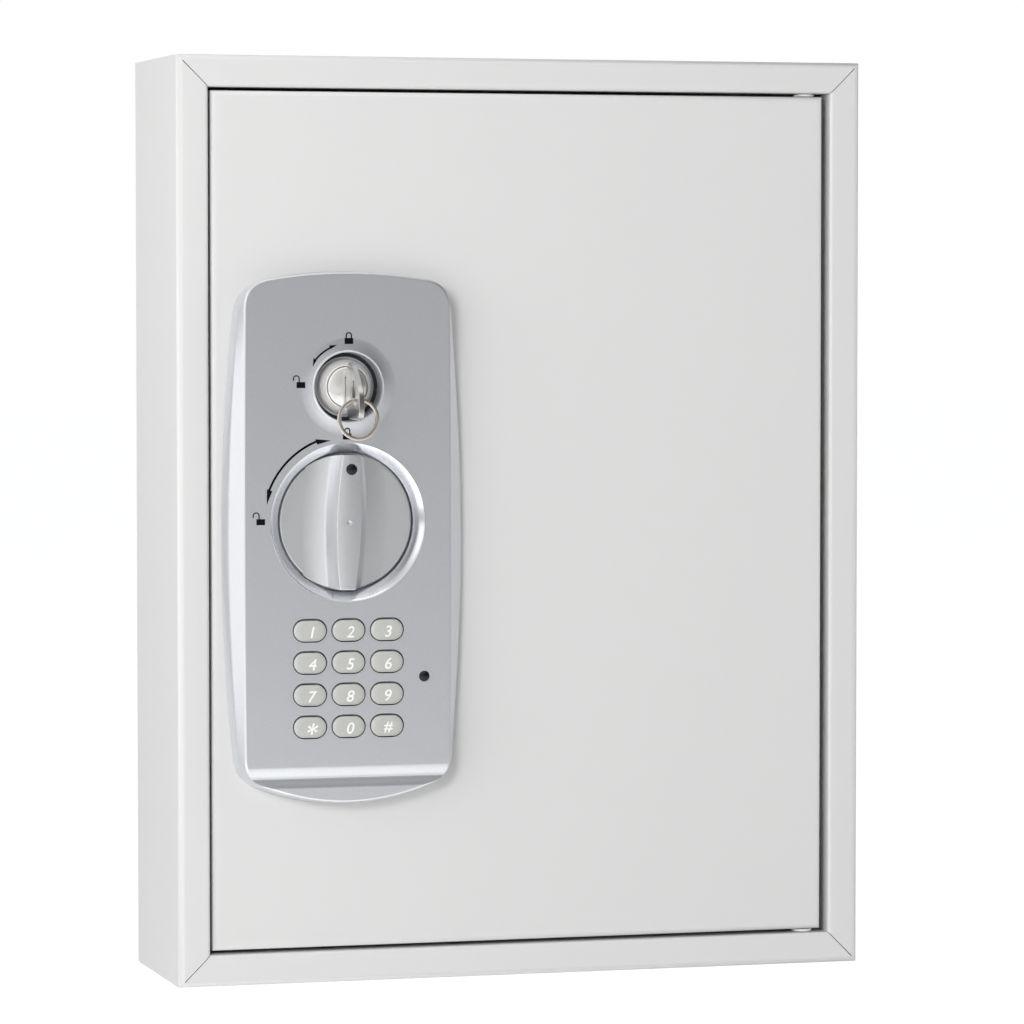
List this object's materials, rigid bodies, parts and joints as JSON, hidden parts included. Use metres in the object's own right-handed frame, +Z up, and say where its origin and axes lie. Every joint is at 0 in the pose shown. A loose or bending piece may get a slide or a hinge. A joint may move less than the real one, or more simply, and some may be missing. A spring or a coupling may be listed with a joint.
{
  "type": "key cabinet",
  "caption": "Wall-mounted steel key cabinet with a hinged door, a turn-knob electronic lock with keypad, an emergency key lock and hook rails inside.",
  "frame": {"origin": "centre of the back face, on the wall", "axes": "+Y into the wall, so the door faces -Y; +Z up; +X to the right as seen from the front, towards the hinges"},
  "size_m": [0.27, 0.1103, 0.35],
  "materials": {
    "light_grey_paint": "semi-gloss powder coat",
    "silver_cast_housing": "satin silver lacquer",
    "bright_chrome": "bright plated",
    "zinc_plated_steel": "zinc plated",
    "nickel_wire": "pale plated wire",
    "white_nylon": "matt",
    "black_rubber": "matt",
    "black_plastic": "fine texture",
    "warm_grey_caps": "satin",
    "circuit_board": "solder mask",
    "smoked_lamp": "clear gloss",
    "battery_wrap": "plain wrap"
  },
  "bodies": {
    "case": {"case_shell": "light_grey_paint", "hinge_pin_top": "zinc_plated_steel", "hinge_pin_bottom": "zinc_plated_steel", "hinge_washer_top": "white_nylon", "hinge_washer_bottom": "white_nylon", "hook_rail_1": "zinc_plated_steel", "hook_rail_2": "zinc_plated_steel", "hook_rail_3": "zinc_plated_steel", "hook_rail_4": "zinc_plated_steel", "hook_rail_5": "zinc_plated_steel", "hook_rail_6": "zinc_plated_steel", "stop_bracket_top": "light_grey_paint", "stop_bracket_bottom": "light_grey_paint", "door_buffer_top": "black_rubber", "door_buffer_bottom": "black_rubber"},
    "door": {"door_panel": "light_grey_paint", "lock_housing": "silver_cast_housing", "knob_ring": "bright_chrome", "keylock_collar": "bright_chrome", "lock_cylinder": "bright_chrome", "cylinder_nut": "zinc_plated_steel", "keypad_membrane": "black_rubber", "keypad_board": "circuit_board", "status_lamp": "smoked_lamp", "lock_case": "zinc_plated_steel", "lock_cover": "zinc_plated_steel", "solenoid": "black_plastic", "battery_box": "black_plastic", "lock_cable": "black_plastic", "lock_screw_1": "zinc_plated_steel", "lock_screw_2": "zinc_plated_steel", "lock_screw_3": "zinc_plated_steel", "lock_screw_4": "zinc_plated_steel", "battery_1": "battery_wrap", "battery_2": "battery_wrap", "battery_3": "battery_wrap", "battery_4": "battery_wrap"},
    "knob": {"knob": "bright_chrome", "knob_marker": "black_plastic", "drive_spindle": "zinc_plated_steel"},
    "bolt": {"sliding_bolt": "zinc_plated_steel"},
    "plunger": {"solenoid_plunger": "zinc_plated_steel"},
    "plug": {"lock_plug": "bright_chrome", "lock_cam": "zinc_plated_steel", "cam_screw": "zinc_plated_steel"},
    "key": {"emergency_key": "zinc_plated_steel"},
    "ring": {"key_ring": "nickel_wire"},
    "lid": {"battery_lid": "black_plastic"},
    "button_1": {"button_1": "warm_grey_caps"},
    "button_2": {"button_2": "warm_grey_caps"},
    "button_3": {"button_3": "warm_grey_caps"},
    "button_4": {"button_4": "warm_grey_caps"},
    "button_5": {"button_5": "warm_grey_caps"},
    "button_6": {"button_6": "warm_grey_caps"},
    "button_7": {"button_7": "warm_grey_caps"},
    "button_8": {"button_8": "warm_grey_caps"},
    "button_9": {"button_9": "warm_grey_caps"},
    "button_star": {"button_star": "warm_grey_caps"},
    "button_0": {"button_0": "warm_grey_caps"},
    "button_hash": {"button_hash": "warm_grey_caps"}
  },
  "joints": [
    {"name": "door_hinge", "type": "hinge", "parent": "case", "child": "door", "pos_m": [0.114, -0.074, 0], "axis": [0, 0, 1], "range_deg": [0, 110]},
    {"name": "knob_turn", "type": "hinge", "parent": "door", "child": "knob", "pos_m": [-0.0718, -0.0843, 0], "axis": [0, -1, 0], "range_deg": [0, 90]},
    {"name": "bolt_slide", "type": "slide", "parent": "door", "child": "bolt", "axis": [1, 0, 0], "range_m": [0, 0.0099]},
    {"name": "plunger_slide", "type": "slide", "parent": "door", "child": "plunger", "axis": [0, 0, 1], "range_m": [0, 0.005]},
    {"name": "plug_turn", "type": "hinge", "parent": "door", "child": "plug", "pos_m": [-0.0718, -0.0845, 0.0508], "axis": [0, -1, 0], "range_deg": [0, 90]},
    {"name": "key_pull", "type": "slide", "parent": "plug", "child": "key", "axis": [0, -1, 0], "range_m": [0, 0.03]},
    {"name": "ring_swing", "type": "hinge", "parent": "key", "child": "ring", "pos_m": [-0.0718, -0.1033, 0.0467], "axis": [1, 0, 0], "range_deg": [-45, 45]},
    {"name": "lid_slide", "type": "slide", "parent": "door", "child": "lid", "axis": [0, 0, -1], "range_m": [0, 0.056]},
    {"name": "button_1_press", "type": "slide", "parent": "door", "child": "button_1", "axis": [0, 1, 0], "range_m": [0, 0.0008], "stiffness_N_per_m": 500},
    {"name": "button_2_press", "type": "slide", "parent": "door", "child": "button_2", "axis": [0, 1, 0], "range_m": [0, 0.0008], "stiffness_N_per_m": 500},
    {"name": "button_3_press", "type": "slide", "parent": "door", "child": "button_3", "axis": [0, 1, 0], "range_m": [0, 0.0008], "stiffness_N_per_m": 500},
    {"name": "button_4_press", "type": "slide", "parent": "door", "child": "button_4", "axis": [0, 1, 0], "range_m": [0, 0.0008], "stiffness_N_per_m": 500},
    {"name": "button_5_press", "type": "slide", "parent": "door", "child": "button_5", "axis": [0, 1, 0], "range_m": [0, 0.0008], "stiffness_N_per_m": 500},
    {"name": "button_6_press", "type": "slide", "parent": "door", "child": "button_6", "axis": [0, 1, 0], "range_m": [0, 0.0008], "stiffness_N_per_m": 500},
    {"name": "button_7_press", "type": "slide", "parent": "door", "child": "button_7", "axis": [0, 1, 0], "range_m": [0, 0.0008], "stiffness_N_per_m": 500},
    {"name": "button_8_press", "type": "slide", "parent": "door", "child": "button_8", "axis": [0, 1, 0], "range_m": [0, 0.0008], "stiffness_N_per_m": 500},
    {"name": "button_9_press", "type": "slide", "parent": "door", "child": "button_9", "axis": [0, 1, 0], "range_m": [0, 0.0008], "stiffness_N_per_m": 500},
    {"name": "button_star_press", "type": "slide", "parent": "door", "child": "button_star", "axis": [0, 1, 0], "range_m": [0, 0.0008], "stiffness_N_per_m": 500},
    {"name": "button_0_press", "type": "slide", "parent": "door", "child": "button_0", "axis": [0, 1, 0], "range_m": [0, 0.0008], "stiffness_N_per_m": 500},
    {"name": "button_hash_press", "type": "slide", "parent": "door", "child": "button_hash", "axis": [0, 1, 0], "range_m": [0, 0.0008], "stiffness_N_per_m": 500}
  ],
  "couplings": [
    {"joint": "bolt_slide", "follows": "knob_turn", "m_per_rad": 0.0063},
    {"joint": "plunger_slide", "follows": "knob_turn", "m_per_rad": 0.00318}
  ]
}
